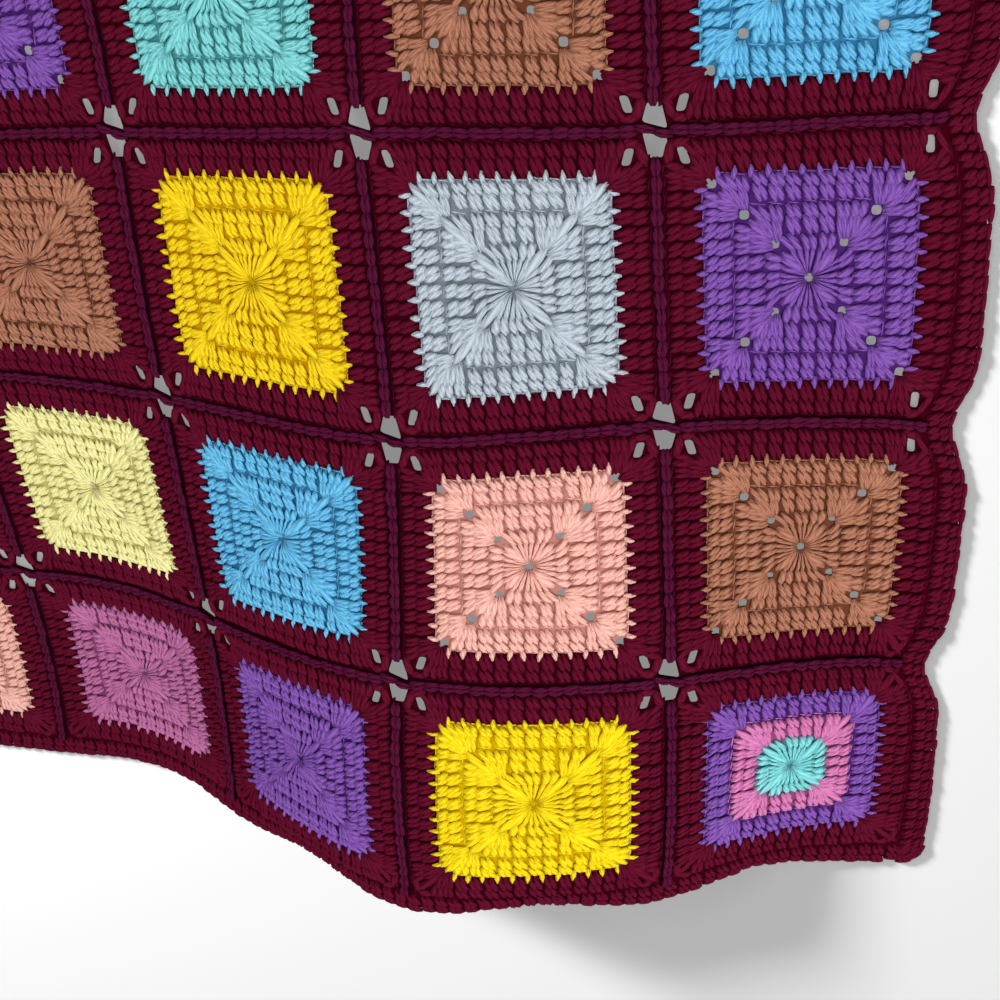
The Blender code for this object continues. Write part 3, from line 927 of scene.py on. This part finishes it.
# %% Every seam
for seam in range(1, SQUARES):
    line = PITCH * seam
    for row in range(SQUARES):
        low, high = beside_square(row, JUNCTION_GAP)
        node = f"column_seam_row{row + 1}_{seam}"
        knit_up("chain_" + node, [chain((line, low), (line, high))], node)
    runs = []
    for column in range(SQUARES):
        left, right = beside_square(column, CORD_HALF)
        runs.append(chain((left, line), (right, line)))
    for middle in PITCH * np.arange(1, SQUARES):
        left, right = middle - CORD_HALF, middle + CORD_HALF
        runs.append(chain((left, line + CORD_SLANT), (right, line - CORD_SLANT), CORD_WIDTHS))
    knit_up(f"chain_row_seam_{seam}", runs, f"row_seam_{seam}")
print("seams done,", len(STITCHED), "pieces of stitches")

# %% [markdown]
# ## The edging
# One more round of maroon trebles goes round the joined squares. It is a little shorter than the others,
# fans out at the four corners, and shows the loops of its stitches whole along the rim.

# %% Trebles round the rim
EDGING_FOOT = -0.0022  # from the squares' outline
EDGING_COUNT = 90  # a side
EDGING_FAN_TURNS = (0.14, 0.5, 0.86)  # of the quarter turn at a corner
EDGING_FAN_FOOT = 0.002  # inside the corner
EDGING_FAN_REACH = 1.12  # of a side stitch's
EDGING_FAN_WIDTHS = (0.3, 1)
EDGING_SIDES = {"hem": ((0, -1), (SIDE, 0)), "left": ((-1, 0), (0, 0)),
                "top": ((0, 1), (0, SIDE)), "right": ((1, 0), (SIDE, SIDE))}  # out, and where it starts
for name, (out, start) in EDGING_SIDES.items():
    out, start = np.array(out, float), np.array(start, float)
    aside = aside_of(out)
    along = SIDE / EDGING_COUNT * (np.arange(EDGING_COUNT) + 0.5)
    feet = start + along[:, None] * aside + EDGING_FOOT * out
    tips = feet + (EDGING_OUT - EDGING_FOOT) * out
    asides = np.tile(aside, (EDGING_COUNT, 1))
    runs = [run_of(RIM, STITCH_HEIGHT, feet, tips, asides, (1, 1), "maroon")]
    turns = np.array(EDGING_FAN_TURNS)[:, None] * math.pi / 2
    far = start + SIDE * aside
    fan_out = np.cos(turns) * out + np.sin(turns) * aside
    fan_aside = np.cos(turns) * aside - np.sin(turns) * out
    fan_feet = np.tile(far - EDGING_FAN_FOOT * (out + aside), (len(turns), 1))
    fan_tips = far + fan_out * EDGING_OUT * EDGING_FAN_REACH
    runs.append(run_of(RIM, STITCH_HEIGHT, fan_feet, fan_tips, fan_aside, EDGING_FAN_WIDTHS, "maroon"))
    knit_up("stitches_edging_" + name, runs, "edging_" + name)
print("edging done,", len(STITCHED), "pieces of stitches")

# %% [markdown]
# ## The painted shade under the stitches
# Between the strands one sees more yarn, in shadow, and not the floor. A thin closed sheet lies inside the
# stitches for that, in each yarn's colour darkened as painted shade. Its grid has a line along every edge
# of a gap, so the real gaps are faces that are taken out: the corner spaces of the squares, the two holes
# of every junction, and the looser squares' inner spaces. Along the hem, and low on the right side, the
# edging pulls the corner spaces shut. The holes' corners are then rounded, and their sides lean as the
# pull of the yarn goes.

# %% Sizes of the gaps, from the middle of a square or from a junction
GROUND_FOOT = 0.0012  # over the underside
GROUND_TOP = 0.0018
GROUND_REACH = EDGING_OUT - 0.0015
CORNER_SPACE = ((0.0506, 0.0556), (0.0504, 0.0576))
OPEN_SPACES = ((0.0128, 0.0166), (0.0257, 0.0299), (0.0395, 0.0440))
CENTRE_RING_HALF = 0.0019
CORD_REACH = 0.0020
JUNCTION_HALF = 0.0055
JUNCTION_REACH = 0.0090
JUNCTION_NARROWING = 0.45
JUNCTION_FADE = 0.004
PETAL_LEAN = 0.30
PETAL_NARROWING = 0.2
PETAL_MIDDLE = 0.053
PETAL_REACH = 0.0045
ROUNDING_ERROR = 0.0001
HOLE_ROUNDING = 0.0014
IN_COLOUR = (CENTRE_RING_HALF, *(edge for space in OPEN_SPACES for edge in space), COLOUR_HALF)
ACROSS = (*IN_COLOUR, *CORNER_SPACE[0], PITCH / 2 - JUNCTION_HALF, PITCH / 2 - SEAM_WIDTH / 2)
ALONG = (*IN_COLOUR, *CORNER_SPACE[1], PITCH / 2 - JUNCTION_GAP, PITCH / 2 - CORD_REACH)
print("grid lines in half a square:", len(ACROSS), "across and", len(ALONG), "along")


# %% How the holes lean
def petal(place, other):
    """Leans the sides of the corner spaces, so that these spread out from the junction."""
    offset = place - PITCH * (math.floor(place / PITCH) + 0.5)
    beyond = abs(other - PITCH * (math.floor(other / PITCH) + 0.5)) - SPACE_MIDDLE
    on_side = CORNER_SPACE[0][0] - ROUNDING_ERROR < abs(offset) < CORNER_SPACE[0][1] + ROUNDING_ERROR
    in_squares = 0 < min(place, other) and max(place, other) <= SIDE
    if not (on_side and abs(beyond) < PETAL_REACH and in_squares):
        return place
    narrow = (PETAL_MIDDLE - abs(offset)) * PETAL_NARROWING
    return place + math.copysign(1, offset) * (narrow + PETAL_LEAN * beyond)


def junction(x, y):
    """Slants the two holes of a junction along its cord, and narrows them away from it."""
    column, row = round(x / PITCH), round(y / PITCH)
    if not (0 < column < SQUARES and 0 < row < SQUARES):
        return x, y
    beside, beyond = x - PITCH * column, y - PITCH * row
    inside = np.interp(abs(beside), (JUNCTION_HALF, JUNCTION_REACH), (1, 0))
    far = (CORD_REACH, JUNCTION_GAP, JUNCTION_GAP + JUNCTION_FADE)
    slant = CORD_SLANT / CORD_HALF * np.interp(abs(beyond), far, (1, 0, 0))
    narrow = JUNCTION_NARROWING * np.interp(abs(beyond), far, (0, 1, 0))
    return x - inside * narrow * beside, y - inside * slant * beside


print("a corner space leans", round(1000 * PETAL_LEAN * PETAL_REACH, 2), "mm at its ends")


# %% The grid, and what shows in each of its cells
def grid_lines(offsets):
    """Flat places of the grid's lines, from their distances to the middle of every square."""
    inside = [PITCH * (k + 0.5) + s * d for k in range(SQUARES) for d in offsets for s in (-1, 1)]
    return np.sort([-GROUND_REACH, *inside, SIDE + GROUND_REACH])


def ground_yarn(x, y):
    """Which yarn shows at a flat place, or None in a gap."""
    column, row = (min(max(int(v // PITCH), 0), SQUARES - 1) for v in (x, y))
    dx, dy = abs(x - PITCH * (column + 0.5)), abs(y - PITCH * (row + 0.5))
    near_x, near_y = PITCH / 2 - dx, PITCH / 2 - dy
    inner = all(PITCH / 2 < v < SIDE - PITCH / 2 for v in (x, y))
    if max(dx, dy) > PITCH / 2:
        return "maroon"
    if CORNER_SPACE[0][0] < dx < CORNER_SPACE[0][1] and CORNER_SPACE[1][0] < dy < CORNER_SPACE[1][1]:
        return "maroon" if is_closed((x, y)) else None
    if inner and near_x < JUNCTION_HALF and CORD_REACH < near_y < JUNCTION_GAP:
        return None
    open_square = (row, column) in OPEN_SQUARES
    if open_square and any(low < min(dx, dy) and max(dx, dy) < high for low, high in OPEN_SPACES):
        return None
    if open_square and max(dx, dy) < CENTRE_RING_HALF:
        return None
    if max(dx, dy) < COLOUR_HALF:
        if (row, column) == THREE_COLOUR_SQUARE:
            return THREE_COLOURS[int(np.searchsorted(ROUND_EDGES[1:3], max(dx, dy)))]
        return LAYOUT[SQUARES - 1 - row][column]
    return "plum" if min(near_x, near_y) < SEAM_WIDTH / 2 else "maroon"


lines_x, lines_y = grid_lines(ACROSS), grid_lines(ALONG)
print("grid of", len(lines_x), "by", len(lines_y), "lines")

# %% The grid with its gaps
GROUND_YARNS = list(YARNS)
ground_bm = bmesh.new()
bmesh.ops.create_grid(ground_bm, x_segments=len(lines_x) - 1, y_segments=len(lines_y) - 1, size=0.5)
for vertex in ground_bm.verts:
    vertex.co.x = lines_x[round((vertex.co.x + 0.5) * (len(lines_x) - 1))]
    vertex.co.y = lines_y[round((vertex.co.y + 0.5) * (len(lines_y) - 1))]
gaps = []
for face in ground_bm.faces:
    shown = ground_yarn(*face.calc_center_median()[:2])
    if shown is None:
        gaps.append(face)
    else:
        face.material_index = GROUND_YARNS.index(shown)
bmesh.ops.delete(ground_bm, geom=gaps, context="FACES")
hole_corners = [v for v in ground_bm.verts if len(v.link_faces) == 3]
bmesh.ops.bevel(ground_bm, geom=hole_corners, offset=HOLE_ROUNDING, segments=2, profile=0.5,
                affect="VERTICES", material=-1)
print(len(gaps), "faces taken out and", len(hole_corners), "corners rounded")

# %% The ground cloth
for vertex in ground_bm.verts:
    x, y = vertex.co.xy
    vertex.co = (*junction(petal(x, y), y), GROUND_FOOT)
top = bmesh.ops.extrude_face_region(ground_bm, geom=list(ground_bm.faces), use_keep_orig=True)["geom"]
for vertex in (g for g in top if isinstance(g, bmesh.types.BMVert)):
    vertex.co.z = GROUND_TOP
bmesh.ops.recalc_face_normals(ground_bm, faces=ground_bm.faces)
order_faces(ground_bm)
for vertex, place in zip(ground_bm.verts, on_cloth(np.array([v.co[:] for v in ground_bm.verts]))):
    vertex.co = place
ground_mesh = bpy.data.meshes.new("ground_cloth")
ground_bm.to_mesh(ground_mesh)
ground_bm.free()
# each yarn's colour darkened as painted shade
for yarn in GROUND_YARNS:
    ground_mesh.materials.append(shade_material(yarn))
ground = bpy.data.objects.new("ground_cloth", ground_mesh)
bpy.context.scene.collection.objects.link(ground)
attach(ground, "root")
print("ground cloth,", len(ground_mesh.polygons), "faces")

# %% [markdown]
# ## What was made
# The number of triangles that the stitches and the ground cloth add is printed.

# %% Sizes, and the end
triangles = sum(sum(len(face.vertices) - 2 for face in o.data.polygons) for o in [*STITCHED, ground])
print("triangles added:", triangles)
